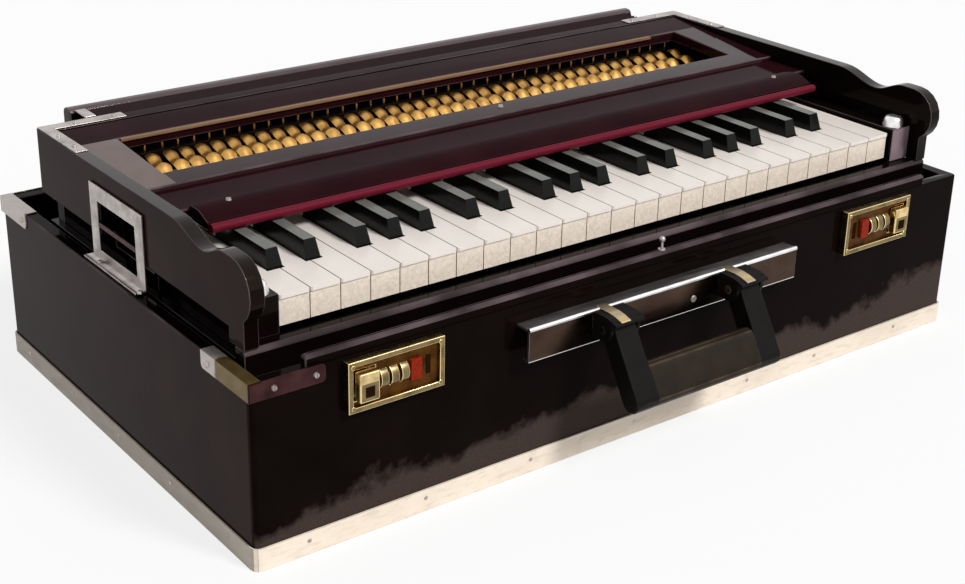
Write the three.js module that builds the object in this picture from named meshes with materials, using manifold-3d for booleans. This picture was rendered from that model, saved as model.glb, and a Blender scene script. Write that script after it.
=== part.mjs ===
// Folding suitcase harmonium with 42 keys, in millimetres, +Z up.
// X runs along the keyboard, bass at -X, and the player sits at -Y.
// The origin is the centre of the flat underside of the case.
import * as THREE from "three";
import { mergeVertices } from "three/addons/utils/BufferGeometryUtils.js";
import Module from "manifold-3d";

const wasm = await Module();
wasm.setup();

// Fits shared by all pieces
const seatGap = 0.3;
const overrun = 1;
const half = 0.5;

// Case, the lower tray that the keyboard unit sinks into
const caseHeight = 123;
const caseWall = 9;
const caseBottom = 8;
const caseCornerRadius = 4;
const cornerSteps = 3;
const lipHeight = 7;
const lipThickness = 6;
const lipInset = 2;
const lipEndMargin = 38;
const sideClearance = 2;
const frontClearance = 6;
const backClearance = 11;

// Metal band round the foot of the case
const trimHeight = 15.5;
const trimProud = 1.5;

// Guide brackets on the rims of the side walls
const bracketThickness = 1.5;
const bracketRunning = 0.4;
const bracketHeight = 52.5;
const bracketLength = 77;
const windowBehindApron = 5.5;
const bracketFoot = 7;
const bracketRim = 11;
const bracketSill = 7;

// Carrying handle and the channel rail that holds it
const railLength = 240;
const railHeight = 23;
const railDepth = 13;
const railSheet = 2;
const railLipDepth = 5;
const railTopBelowRim = 12;
const earThickness = 2.4;
const earRadius = 8;
const strapThickness = 1.6;
const strapFlat = 14;
const strapReach = 22;
const strapDrop = 2.4;
const armCentreX = 56;
const armWidth = 18;
const armSideRunning = 1;
const armThickness = 15;
const pinRadius = 3;
const pinRunning = 0.4;
const pinProud = 1;
const pivotFromRail = 10;
const pivotBelowRailTop = 9.5;
const handleReach = 57;
const gripWidth = 30;
const gripRadius = 7;
const handleTiltDegrees = 31;

// Combination latches on the front of the case
const latchFromSide = 96.5;
const latchWidth = 69;
const latchHeight = 33.5;
const latchDepth = 6;
const latchBelowRim = 1.5;
const latchRim = 3.5;
const latchRecess = 2.2;
const latchBack = 0.7;
const buttonWidth = 14;
const buttonHeight = 19;
const buttonRunning = 0.5;
const buttonProud = 4;
const buttonTravel = 2.5;
const buttonFromEnd = 12.5;
const dialCount = 3;
const dialPitch = 7.4;
const dialWidth = 5.4;
const dialRadius = 7.5;
const dialProud = 1.6;
const firstDialFromButton = 12.5;
const sliderWidth = 8;
const sliderHeight = 14;
const sliderFromLastDial = 8.5;

// Keyboard unit, the part that rises out of the case
const unitDepth = 296;
const sinkTravel = 60;

// Wind chest: reed board, front rail, back board and the reservoir below
const boardBelowRim = 4;
const reedBoardThickness = 15;
const reedBoardInset = 4;
const frontRailDepth = 11;
const frontRailInset = 9;
const frontRailRise = 12;
const backBoardThickness = 12;
const keyRailDepth = 9;
const bellowsLedgeHeight = 5.5;
const reservoirSideInset = 30;
const reservoirEndInset = 38;
const reservoirClearance = 10;
const reservoirFolds = 3;
const reservoirFoldDepth = 6;

// Keys
const keyCount = 42;
const whiteKeyCount = 25;
const firstOctave = 3;
const whitePitch = 21.5;
const keyGap = 0.7;
const notchGap = 1.8;
const keyFrontInset = 23;
const keyTailRoom = 32;
const keyBedHeight = 15;
const keyThickness = 20;
const keyPlate = 2.5;
const keyNosing = 1.2;
const whiteHead = 34;
const blackWidth = 11;
const blackTopShare = 0.76;
const blackRise = 12;
const blackSlope = 4;
const blackLength = 65.2;
const pivotFromTail = 8;

// Side panels with their scrolled cheeks
const cheekRunning = 2;
const cheekWidth = 19.25;
const cheekRise = 3;
const cheekFrontInset = 19;
const cheekUnderApron = 5.5;
const panelThickness = 10;
const panelProud = 0.75;
const panelAboveRail = 10;
const panelFootLength = 27;
const scrollLength = 93;
const notchInset = 56;
const notchDrop = 8.5;
const scrollDrop = 0.5;
const scrollRadius = 20;
const curveSteps = 8;
const skirtThickness = 6;
const skirtBelowApron = 1;

// Window frame over the reeds, with the apron in front of it
const frameDepth = 118.2;
const frameTiltDegrees = 4;
const frameThickness = 9;
const frameBorderFront = 20.5;
const frameOpening = 67;
const frameEndBorder = 30;
const frameAboveApron = 3.2;
const apronDepth = 37;
const apronThickness = 7.8;
const apronOverlap = 3;
const apronEndDepth = 9;
const blackHeadroom = 1;

// Fall board with the felt bead along its front
const fallDepth = 24.2;
const fallThickness = 9.5;
const fallFrontThickness = 4.6;
const fallCreaseShare = 0.5;
const fallAboveApronFoot = 1;
const beadDepth = 6;
const beadHeight = 6;
const beadSteps = 6;

// Key springs on their rail, one over each key
const springRailFromKeys = 4;
const springRailDepth = 10;
const springRailHeight = 10;
const springRailAboveKeys = 5;
const springWidth = 8.6;
const springSheet = 1.2;
const springLength = 52;
const springTipAboveKey = 1.2;
const guidePinRadius = 1;
const guidePinHeight = 4;
const guidePinSides = 6;

// Bellows behind the keyboard unit
const foldStack = 19;
const foldCount = 4;
const foldEndInset = 7;
const foldHeight = 46;
const foldInset = 7;
const ridgeShare = 0.62;
const bellowsSideInset = 33;
const bellowsBoardThickness = 12;
const bellowsBoardHeight = 52;
const bellowsAboveTop = 2;
const bellowsEdgeRadius = 4;

// Widths, worked outwards from the keyboard
const keyboardHalf = whitePitch * whiteKeyCount * half;
const cheekInside = keyboardHalf + cheekRunning;
const panelInside = cheekInside + cheekWidth;
const unitHalf = panelInside + panelThickness;
const caseHalfWidth = unitHalf + sideClearance + caseWall;
const bellowsBoardHalf = unitHalf - bellowsSideInset;

// Depths, worked from the front of the case to its back
const bellowsDepth = foldStack + bellowsBoardThickness;
const caseHalfDepth = (frontClearance + unitDepth + bellowsDepth + backClearance) * half + caseWall;
const caseFrontY = -caseHalfDepth;
const unitFrontY = caseFrontY + caseWall + frontClearance;
const unitBackY = unitFrontY + unitDepth;
const backBoardFrontY = unitBackY - backBoardThickness;
const keyFrontY = unitFrontY + keyFrontInset;
const railFrontY = unitFrontY + frontRailInset;
const railBackY = railFrontY + frontRailDepth;
const keyBackY = backBoardFrontY - keyTailRoom;
const pivotY = keyBackY - pivotFromTail;
const frameFrontY = backBoardFrontY - seatGap - frameDepth;
const apronFrontY = frameFrontY - apronDepth;
const fallFrontY = apronFrontY - seatGap - fallDepth;
const springRailY = keyBackY + springRailFromKeys;

// Heights, worked upwards from the rim of the case
const reedBoardTop = caseHeight - boardBelowRim;
const reedBoardBottom = reedBoardTop - reedBoardThickness;
const frontRailTop = reedBoardTop + frontRailRise;
const keyBottom = reedBoardTop + keyBedHeight;
const keyTop = keyBottom + keyThickness;
const pivotZ = keyBottom + keyThickness * half;
const cheekTop = keyTop + cheekRise;
const panelBottom = frontRailTop + panelAboveRail;
const apronBottom = keyTop + blackRise + blackHeadroom;
const apronTop = apronBottom + apronThickness;
const skirtTop = apronBottom - skirtBelowApron;
const frameTopAtFront = apronTop + frameAboveApron;
const frameRise = frameDepth * Math.tan(THREE.MathUtils.degToRad(frameTiltDegrees));
const panelTop = frameTopAtFront + frameRise + panelProud;
const fallBottom = apronBottom + fallAboveApronFoot;
const bellowsBoardTop = panelTop + bellowsAboveTop;
const bellowsBoardBottom = bellowsBoardTop - bellowsBoardHeight;

// Places on the case
const railTop = caseHeight - railTopBelowRim;
const handlePivotY = caseFrontY - railDepth - pivotFromRail;
const handlePivotZ = railTop - pivotBelowRailTop;
const windowBottom = caseHeight + bracketSill;
const windowTop = caseHeight + bracketHeight - bracketRim;
const windowHalfLength = bracketLength * half - bracketRim;
const bracketMiddleY = apronFrontY + apronEndDepth + windowBehindApron + windowHalfLength;

const lacquer = new THREE.MeshStandardMaterial({ color: 0x2b1c1f, roughness: 0.18, metalness: 0 });
const lacquerBrown = new THREE.MeshStandardMaterial({ color: 0x3a2629, roughness: 0.22, metalness: 0 });
const creamBand = new THREE.MeshStandardMaterial({ color: 0xe8dfcb, roughness: 0.35, metalness: 0.3 });
const nickel = new THREE.MeshStandardMaterial({ color: 0xb8b0ac, roughness: 0.28, metalness: 1 });
const chrome = new THREE.MeshStandardMaterial({ color: 0xcfcac6, roughness: 0.12, metalness: 1 });
const brass = new THREE.MeshStandardMaterial({ color: 0xc59a4a, roughness: 0.3, metalness: 1 });
const blackPlastic = new THREE.MeshStandardMaterial({ color: 0x2b2b28, roughness: 0.45, metalness: 0 });
const whiteKeyFinish = new THREE.MeshStandardMaterial({ color: 0xe9dfd9, roughness: 0.3, metalness: 0 });
const blackKeyFinish = new THREE.MeshStandardMaterial({ color: 0x0c0e08, roughness: 0.3, metalness: 0 });
const foldCloth = new THREE.MeshStandardMaterial({ color: 0x5a2a30, roughness: 0.8, metalness: 0 });
const fallFinish = new THREE.MeshStandardMaterial({ color: 0x2a191d, roughness: 0.25, metalness: 0 });

const harmonium = new THREE.Group();

// A closed geometry becomes a solid for joining and cutting.
function toSolid(geometry) {
  const bare = geometry.index ? geometry.toNonIndexed() : geometry.clone();
  bare.deleteAttribute("normal");
  bare.deleteAttribute("uv");
  const merged = mergeVertices(bare);
  const vertProperties = new Float32Array(merged.attributes.position.array);
  const triVerts = new Uint32Array(merged.index.array);
  return new wasm.Manifold(new wasm.Mesh({ numProp: 3, vertProperties, triVerts }));
}

function toGeometry(solid) {
  const result = solid.getMesh();
  const geometry = new THREE.BufferGeometry();
  geometry.setAttribute("position", new THREE.BufferAttribute(result.vertProperties, 3));
  geometry.setIndex(new THREE.BufferAttribute(result.triVerts, 1));
  geometry.computeVertexNormals();
  return geometry;
}

function join(solids) {
  return solids.reduce((whole, solid) => whole.add(solid));
}

function addPiece(parent, name, solid, material) {
  const mesh = new THREE.Mesh(toGeometry(solid), material);
  mesh.name = name;
  parent.add(mesh);
  return mesh;
}

// A box between two corners, given as pairs of limits.
function block([x0, x1], [y0, y1], [z0, z1]) {
  const box = new THREE.BoxGeometry(Math.abs(x1 - x0), Math.abs(y1 - y0), Math.abs(z1 - z0));
  box.translate((x0 + x1) * half, (y0 + y1) * half, (z0 + z1) * half);
  return toSolid(box);
}

// An outline of [y, z] points, drawn along X between two places.
function alongX(outline, [x0, x1]) {
  const shape = new THREE.Shape(outline.map(([y, z]) => new THREE.Vector2(y, z)));
  const depth = Math.abs(x1 - x0);
  const prism = new THREE.ExtrudeGeometry(shape, { depth, bevelEnabled: false, steps: 1 });
  const turn = new THREE.Matrix4().makeBasis(
    new THREE.Vector3(0, 1, 0),
    new THREE.Vector3(0, 0, 1),
    new THREE.Vector3(1, 0, 0),
  );
  prism.applyMatrix4(turn);
  prism.translate(Math.min(x0, x1), 0, 0);
  return toSolid(prism);
}

// An outline of [x, y] points, drawn upwards between two heights.
function upward(outline, [z0, z1]) {
  const shape = new THREE.Shape(outline.map(([x, y]) => new THREE.Vector2(x, y)));
  const prism = new THREE.ExtrudeGeometry(shape, { depth: z1 - z0, bevelEnabled: false, steps: 1 });
  prism.translate(0, 0, z0);
  return toSolid(prism);
}

// Points on an arc, both ends included, with angles in degrees.
function arc([u, v], radius, fromDegrees, toDegrees, steps) {
  const points = [];
  for (let i = 0; i <= steps; i += 1) {
    const angle = THREE.MathUtils.degToRad(fromDegrees + ((toDegrees - fromDegrees) * i) / steps);
    points.push([u + radius * Math.cos(angle), v + radius * Math.sin(angle)]);
  }
  return points;
}

// A rectangle with round corners, given by half of its width and half of its depth.
function roundedRectangle(halfWidth, halfDepth, radius, steps) {
  const u = halfWidth - radius;
  const v = halfDepth - radius;
  return [
    ...arc([u, v], radius, 0, 90, steps),
    ...arc([-u, v], radius, 90, 180, steps),
    ...arc([-u, -v], radius, 180, 270, steps),
    ...arc([u, -v], radius, 270, 360, steps),
  ];
}

// A pair of limits on the left (-1) or right (+1) side.
function onSide(side, inner, outer) {
  return side > 0 ? [inner, outer] : [-outer, -inner];
}

function buildCase() {
  const outside = roundedRectangle(caseHalfWidth, caseHalfDepth, caseCornerRadius, cornerSteps);
  const outer = upward(outside, [0, caseHeight]);
  const insideX = caseHalfWidth - caseWall;
  const insideY = caseHalfDepth - caseWall;
  const hollow = block([-insideX, insideX], [-insideY, insideY], [caseBottom, caseHeight + overrun]);
  const lipX = caseHalfWidth - lipEndMargin;
  const lipFrontY = caseFrontY + lipInset;
  const lip = block(
    [-lipX, lipX],
    [lipFrontY, lipFrontY + lipThickness],
    [caseHeight - overrun, caseHeight + lipHeight],
  );
  addPiece(harmonium, "case_shell", outer.subtract(hollow).add(lip), lacquer);
}

function buildTrim() {
  const [outside, inside] = [trimProud, seatGap].map((grow) => roundedRectangle(
    caseHalfWidth + grow,
    caseHalfDepth + grow,
    caseCornerRadius + grow,
    cornerSteps,
  ));
  const band = upward(outside, [0, trimHeight]);
  const hole = upward(inside, [-overrun, trimHeight + overrun]);
  addPiece(harmonium, "base_trim", band.subtract(hole), creamBand);
}

function buildBracket(side) {
  const inner = unitHalf + bracketRunning;
  const bottom = caseHeight + seatGap;
  const halfLength = bracketLength * half;
  const lengthwise = [-halfLength, halfLength];
  const outer = inner + bracketThickness;
  const plate = block(onSide(side, inner, outer), lengthwise, [bottom, caseHeight + bracketHeight]);
  const foot = block(
    onSide(side, inner, outer + bracketFoot),
    lengthwise,
    [bottom, bottom + bracketThickness],
  );
  const window = block(
    onSide(side, inner - overrun, outer + overrun),
    [-windowHalfLength, windowHalfLength],
    [windowBottom, windowTop],
  );
  const name = side < 0 ? "left_bracket" : "right_bracket";
  const piece = addPiece(harmonium, name, plate.add(foot).subtract(window), nickel);
  piece.position.y = bracketMiddleY;
}

function buildRail() {
  const backY = caseFrontY - seatGap;
  const frontY = caseFrontY - railDepth;
  const bottom = railTop - railHeight;
  const channel = alongX(
    [
      [backY, railTop],
      [frontY, railTop],
      [frontY, bottom],
      [frontY + railLipDepth, bottom],
      [frontY + railLipDepth, bottom + railSheet],
      [frontY + railSheet, bottom + railSheet],
      [frontY + railSheet, railTop - railSheet],
      [backY, railTop - railSheet],
    ].reverse(),
    [-railLength * half, railLength * half],
  );
  // Each ear pair is bridged by a strap that comes off the rail's top edge.
  const rootY = frontY + railSheet * half;
  const strapOutline = [
    [rootY, railTop],
    [frontY - strapFlat, railTop],
    [frontY - strapReach, railTop - strapDrop],
    [frontY - strapReach, railTop - strapDrop - strapThickness],
    [frontY - strapFlat, railTop - strapThickness],
    [rootY, railTop - strapThickness],
  ];
  const strapHalf = armWidth * half + armSideRunning + earThickness;
  const ears = [];
  for (const side of [-1, 1]) {
    ears.push(alongX(strapOutline, onSide(side, armCentreX - strapHalf, armCentreX + strapHalf)));
    for (const flank of [-1, 1]) {
      const face = armCentreX + flank * (armWidth * half + armSideRunning);
      const thick = [face, face + flank * earThickness].sort((a, b) => a - b);
      const earTop = railTop - strapThickness * half;
      const ear = alongX(
        [
          [rootY, earTop],
          [rootY, handlePivotZ - earRadius],
          ...arc([handlePivotY, handlePivotZ], earRadius, 270, 180, curveSteps),
          [handlePivotY - earRadius, earTop],
        ],
        onSide(side, ...thick),
      );
      const hole = pinAlongX(onSide(side, thick[0] - overrun, thick[1] + overrun), pinRadius + pinRunning);
      hole.translate(0, handlePivotY, handlePivotZ);
      ears.push(ear.subtract(toSolid(hole)));
    }
  }
  addPiece(harmonium, "handle_rail", join([channel, ...ears]), chrome);
}

function pinAlongX([x0, x1], radius) {
  const pin = new THREE.CylinderGeometry(radius, radius, Math.abs(x1 - x0), curveSteps * 2);
  pin.rotateZ(Math.PI * half);
  pin.translate((x0 + x1) * half, 0, 0);
  return pin;
}

function buildHandle() {
  const thick = armThickness * half;
  const armOutline = [
    ...arc([0, 0], thick, 0, 180, curveSteps),
    ...arc([-thick + gripRadius, -handleReach + gripRadius], gripRadius, 180, 270, cornerSteps),
    ...arc([thick - gripRadius, -handleReach + gripRadius], gripRadius, 270, 360, cornerSteps),
  ];
  const gripOutline = roundedRectangle(thick, gripWidth * half, gripRadius, cornerSteps).map(
    ([u, v]) => [u, v - handleReach + gripWidth * half],
  );
  const armInner = armCentreX - armWidth * half;
  const armOuter = armCentreX + armWidth * half;
  const pinReach = armSideRunning + earThickness + pinProud;
  const solids = [alongX(gripOutline, [-armInner - overrun, armInner + overrun])];
  for (const side of [-1, 1]) {
    solids.push(alongX(armOutline, onSide(side, armInner, armOuter)));
    solids.push(toSolid(pinAlongX(onSide(side, armInner - pinReach, armOuter + pinReach), pinRadius)));
  }
  const handle = addPiece(harmonium, "handle", join(solids), blackPlastic);
  handle.position.set(0, handlePivotY, handlePivotZ);
  handle.rotation.x = -THREE.MathUtils.degToRad(handleTiltDegrees);
}

// The latch is drawn about its own centre, with its face towards -Y.
function buildLatch(side) {
  const group = new THREE.Group();
  group.position.set(
    side * (caseHalfWidth - latchFromSide),
    caseFrontY - seatGap,
    caseHeight - latchBelowRim - latchHeight * half,
  );
  harmonium.add(group);
  const halfWidth = latchWidth * half;
  const halfHeight = latchHeight * half;
  const faceY = -latchDepth + latchRecess;
  const plate = block([-halfWidth, halfWidth], [-latchDepth, 0], [-halfHeight, halfHeight]);
  const well = block(
    [-halfWidth + latchRim, halfWidth - latchRim],
    [-latchDepth - overrun, faceY],
    [-halfHeight + latchRim, halfHeight - latchRim],
  );
  // The button sits at the outer end, then the dials, then the slider.
  const buttonX = side * (halfWidth - buttonFromEnd);
  const pocketHalfWidth = buttonWidth * half + buttonRunning;
  const pocketHalfHeight = buttonHeight * half + buttonRunning;
  const pocket = block(
    [buttonX - pocketHalfWidth, buttonX + pocketHalfWidth],
    [-latchDepth - overrun, -latchBack],
    [-pocketHalfHeight, pocketHalfHeight],
  );
  let solid = plate.subtract(well).subtract(pocket);
  for (let i = 0; i < dialCount; i += 1) {
    const x = buttonX - side * (firstDialFromButton + i * dialPitch);
    const dial = pinAlongX([x - dialWidth * half, x + dialWidth * half], dialRadius);
    dial.translate(0, dialRadius - latchDepth - dialProud, 0);
    const front = block(
      [x - dialWidth, x + dialWidth],
      [-latchDepth * 2, -latchBack],
      [-halfHeight, halfHeight],
    );
    solid = solid.add(toSolid(dial).intersect(front));
  }
  const sliderX = buttonX - side * (firstDialFromButton + (dialCount - 1) * dialPitch + sliderFromLastDial);
  const slider = block(
    [sliderX - sliderWidth * half, sliderX + sliderWidth * half],
    [-latchDepth, faceY + overrun],
    [-sliderHeight * half, sliderHeight * half],
  );
  const name = side < 0 ? "left" : "right";
  addPiece(group, `${name}_latch`, solid.add(slider), brass);
  const button = block(
    [buttonX - buttonWidth * half, buttonX + buttonWidth * half],
    [-latchDepth - buttonProud, -latchBack - buttonTravel - buttonRunning],
    [-buttonHeight * half, buttonHeight * half],
  );
  addPiece(group, `${name}_latch_button`, button, brass);
}

function buildWindChest() {
  const boardHalf = unitHalf - reedBoardInset;
  const board = block(
    [-boardHalf, boardHalf],
    [railBackY - overrun, unitBackY - overrun],
    [reedBoardBottom, reedBoardTop],
  );
  const frontRail = block([-unitHalf, unitHalf], [railFrontY, railBackY], [reedBoardBottom, frontRailTop]);
  const backHalf = panelInside - seatGap;
  const backBoard = block(
    [-backHalf, backHalf],
    [backBoardFrontY, unitBackY],
    [reedBoardBottom, panelTop],
  );
  const keyRailTop = keyBottom - seatGap;
  const keyRail = block(
    [-keyboardHalf, keyboardHalf],
    [pivotY - keyRailDepth * half, pivotY + keyRailDepth * half],
    [reedBoardTop - overrun, keyRailTop],
  );
  const ledgeTop = bellowsBoardBottom - seatGap;
  const ledge = block(
    [-bellowsBoardHalf, bellowsBoardHalf],
    [unitBackY - overrun, unitBackY + foldStack],
    [ledgeTop - bellowsLedgeHeight, ledgeTop],
  );
  const solids = [board, frontRail, backBoard, keyRail, ledge];
  const reservoirBottom = caseBottom + reservoirClearance + sinkTravel;
  const foldHeightEach = (reedBoardBottom - reservoirBottom) / reservoirFolds;
  const reachX = unitHalf - reservoirSideInset;
  const frontY = unitFrontY + reservoirEndInset;
  const backY = unitBackY - reservoirEndInset;
  for (let i = 0; i < reservoirFolds; i += 1) {
    const bottom = reservoirBottom + i * foldHeightEach;
    const ridge = foldHeightEach * ridgeShare;
    solids.push(block(
      [-reachX + reservoirFoldDepth, reachX - reservoirFoldDepth],
      [frontY + reservoirFoldDepth, backY - reservoirFoldDepth],
      [bottom, bottom + foldHeightEach + overrun],
    ));
    solids.push(block([-reachX, reachX], [frontY, backY], [bottom, bottom + ridge]));
  }
  addPiece(harmonium, "wind_chest", join(solids), lacquerBrown);
}

// Outline of the outer cheek, from the back along the top to the scroll at the front.
function panelOutline() {
  const scrollTopZ = panelTop - scrollDrop;
  const scrollCentre = [unitFrontY + scrollRadius, scrollTopZ - scrollRadius];
  const straightEndY = unitFrontY + scrollLength;
  const notchY = unitFrontY + notchInset;
  const notchZ = panelTop - notchDrop;
  const footBackY = unitFrontY + panelFootLength;
  const sweep = [];
  for (let i = 1; i <= curveSteps; i += 1) {
    const share = i / curveSteps;
    const ease = (1 - Math.cos(Math.PI * share)) * half;
    sweep.push([straightEndY + (notchY - straightEndY) * share, panelTop + (notchZ - panelTop) * ease]);
  }
  const rise = [];
  const scrollStartY = scrollCentre[0] + scrollRadius * half;
  const curl = THREE.MathUtils.radToDeg(Math.acos(1 - frontRailInset / scrollRadius));
  for (let i = 1; i < curveSteps; i += 1) {
    const share = i / curveSteps;
    const ease = (1 - Math.cos(Math.PI * share)) * half;
    rise.push([notchY + (scrollStartY - notchY) * share, notchZ + (scrollTopZ - notchZ) * ease]);
  }
  return [
    [unitBackY, panelBottom],
    [unitBackY, panelTop],
    [straightEndY, panelTop],
    ...sweep,
    ...rise,
    [scrollStartY, scrollTopZ],
    ...arc(scrollCentre, scrollRadius, 90, 180 + curl, curveSteps),
    [railFrontY, frontRailTop + seatGap],
    [footBackY, frontRailTop + seatGap],
    [footBackY, panelBottom],
  ].reverse();
}

function buildSidePanel(side) {
  const outer = alongX(panelOutline(), onSide(side, panelInside, unitHalf));
  const skirtInside = panelInside - skirtThickness;
  const skirtBottom = reedBoardTop + seatGap;
  const skirtFrontY = apronFrontY + apronEndDepth + seatGap;
  const skirt = block(
    onSide(side, skirtInside, panelInside + overrun),
    [skirtFrontY, backBoardFrontY - seatGap],
    [panelBottom - overrun, skirtTop],
  );
  const foot = block(
    onSide(side, skirtInside, panelInside),
    [skirtFrontY, backBoardFrontY - seatGap],
    [skirtBottom, panelBottom],
  );
  const cheekFrontY = unitFrontY + cheekFrontInset;
  const cheekBackY = apronFrontY + cheekUnderApron;
  const cheek = block(
    onSide(side, cheekInside, panelInside + overrun),
    [railBackY + seatGap, cheekBackY],
    [panelBottom - overrun, cheekTop],
  );
  const cheekFoot = block(
    onSide(side, cheekInside, panelInside),
    [railBackY + seatGap, cheekBackY],
    [skirtBottom, panelBottom],
  );
  const cheekNose = block(
    onSide(side, cheekInside, panelInside + overrun),
    [cheekFrontY, railBackY + overrun],
    [frontRailTop + seatGap, cheekTop],
  );
  const window = block(
    onSide(side, skirtInside - overrun, unitHalf + overrun),
    [bracketMiddleY - windowHalfLength, bracketMiddleY + windowHalfLength],
    [windowBottom, windowTop],
  );
  const solid = join([outer, skirt, foot, cheek, cheekFoot, cheekNose]).subtract(window);
  addPiece(harmonium, side < 0 ? "left_side_panel" : "right_side_panel", solid, lacquer);
}

function buildTopFrame() {
  const reachX = panelInside - seatGap;
  const tilt = THREE.MathUtils.degToRad(frameTiltDegrees);
  const slopeLength = frameDepth / Math.cos(tilt) + overrun;
  const board = new THREE.BoxGeometry(reachX * 2, slopeLength, frameThickness);
  board.translate(0, slopeLength * half, -frameThickness * half);
  const openingHalf = reachX - frameEndBorder;
  const hole = new THREE.BoxGeometry(openingHalf * 2, frameOpening, frameThickness + overrun * 2);
  hole.translate(0, frameBorderFront + frameOpening * half, -frameThickness * half);
  for (const piece of [board, hole]) {
    piece.rotateX(tilt);
    piece.translate(0, frameFrontY, frameTopAtFront);
  }
  const backLimit = block(
    [-reachX, reachX],
    [apronFrontY, backBoardFrontY - seatGap],
    [apronBottom, panelTop],
  );
  const apron = block([-reachX, reachX], [apronFrontY, frameFrontY + apronOverlap], [apronBottom, apronTop]);
  const ends = [-1, 1].map((side) => block(
    onSide(side, cheekInside, reachX),
    [apronFrontY, apronFrontY + apronEndDepth],
    [cheekTop + seatGap, apronBottom + overrun],
  ));
  const frame = toSolid(board).intersect(backLimit).subtract(toSolid(hole));
  addPiece(harmonium, "top_frame", join([frame, apron, ...ends]), lacquerBrown);
}

function buildFallBoard() {
  const reachX = cheekInside - seatGap;
  const fallTop = fallBottom + fallThickness;
  const fallBackY = apronFrontY - seatGap;
  const section = [
    [fallFrontY, fallBottom],
    [fallBackY, fallBottom],
    [fallBackY, fallTop],
    [fallBackY - fallDepth * fallCreaseShare, fallTop],
    [fallFrontY, fallBottom + fallFrontThickness],
  ];
  const board = alongX(section, [-reachX, reachX]);
  const beadHalf = beadHeight * half;
  const beadBottom = apronBottom;
  const beadTop = beadBottom + beadHeight;
  const nose = arc([0, 0], 1, 90, 270, beadSteps).map(([u, v]) => [
    fallFrontY + u * beadDepth,
    beadBottom + beadHalf + v * beadHalf,
  ]);
  const beadBack = fallFrontY + overrun;
  const bead = alongX([...nose, [beadBack, beadBottom], [beadBack, beadTop]], [-reachX, reachX]);
  addPiece(harmonium, "fall_board", board.add(bead), fallFinish);
}

// Where each key stands: its name, its middle and the limits beside its tail.
function keyLayout() {
  const letters = ["c", "c_sharp", "d", "d_sharp", "e", "f", "f_sharp", "g", "g_sharp", "a", "a_sharp", "b"];
  const offsetShares = { c_sharp: -0.13, d_sharp: 0.13, f_sharp: -0.14, g_sharp: 0, a_sharp: 0.14 };
  const keys = [];
  let whites = 0;
  for (let i = 0; i < keyCount; i += 1) {
    const letter = letters[i % letters.length];
    const name = `key_${letter}${firstOctave + Math.floor(i / letters.length)}`;
    if (letter in offsetShares) {
      keys.push({ name, black: true, x: -keyboardHalf + (whites + offsetShares[letter]) * whitePitch });
    } else {
      keys.push({ name, black: false, x: -keyboardHalf + (whites + half) * whitePitch });
      whites += 1;
    }
  }
  return keys;
}

// The limits of a key's tail about its own middle, between the black keys beside it.
function tailLimits(key, before, after) {
  if (key.black) {
    return [-blackWidth * half, blackWidth * half];
  }
  const reach = (whitePitch - keyGap) * half;
  const beside = blackWidth * half + keyGap;
  return [
    before && before.black ? before.x - key.x + beside : -reach,
    after && after.black ? after.x - key.x - beside : reach,
  ];
}

function whiteKey(key, before, after) {
  const reach = (whitePitch - keyGap) * half;
  const [tailLeft, tailRight] = tailLimits(key, before, after);
  const frontY = keyFrontY - pivotY;
  const backY = keyBackY - pivotY;
  const headBackY = frontY + whiteHead;
  const outline = (front) => {
    const points = [[-reach, front], [reach, front]];
    if (tailRight < reach) {
      points.push([reach, headBackY], [tailRight, headBackY]);
    }
    points.push([tailRight, backY], [tailLeft, backY]);
    if (tailLeft > -reach) {
      points.push([tailLeft, headBackY], [-reach, headBackY]);
    }
    return points;
  };
  const top = keyTop - pivotZ;
  const lever = upward(outline(frontY), [top - keyThickness, top - keyPlate]);
  const plate = upward(outline(frontY - keyNosing), [top - keyPlate, top]);
  return lever.add(plate);
}

function blackKey() {
  const reach = blackWidth * half;
  const frontY = keyFrontY + whiteHead + notchGap - pivotY;
  const backY = keyBackY - pivotY;
  const top = keyTop - pivotZ;
  const lever = block([-reach, reach], [frontY, backY], [top - keyThickness, top]);
  const sharpFoot = top - overrun;
  const sharpBack = frontY + blackLength;
  const outline = [
    [frontY, sharpFoot],
    [sharpBack, sharpFoot],
    [sharpBack, top + blackRise],
    [frontY + blackSlope, top + blackRise],
    [frontY, top],
  ];
  const shape = new THREE.Shape(outline.map(([y, z]) => new THREE.Vector2(y, z)));
  const sharp = new THREE.ExtrudeGeometry(shape, { depth: blackWidth, bevelEnabled: false, steps: 1 });
  const place = sharp.attributes.position;
  for (let i = 0; i < place.count; i += 1) {
    const share = place.getY(i) > top ? blackTopShare : 1;
    place.setXYZ(i, (place.getZ(i) - reach) * share, place.getX(i), place.getY(i));
  }
  return lever.add(toSolid(sharp));
}

function buildKeys() {
  const keys = keyLayout();
  keys.forEach((key, i) => {
    const solid = key.black ? blackKey() : whiteKey(key, keys[i - 1], keys[i + 1]);
    const piece = addPiece(harmonium, key.name, solid, key.black ? blackKeyFinish : whiteKeyFinish);
    piece.position.set(key.x, pivotY, pivotZ);
  });
}

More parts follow.
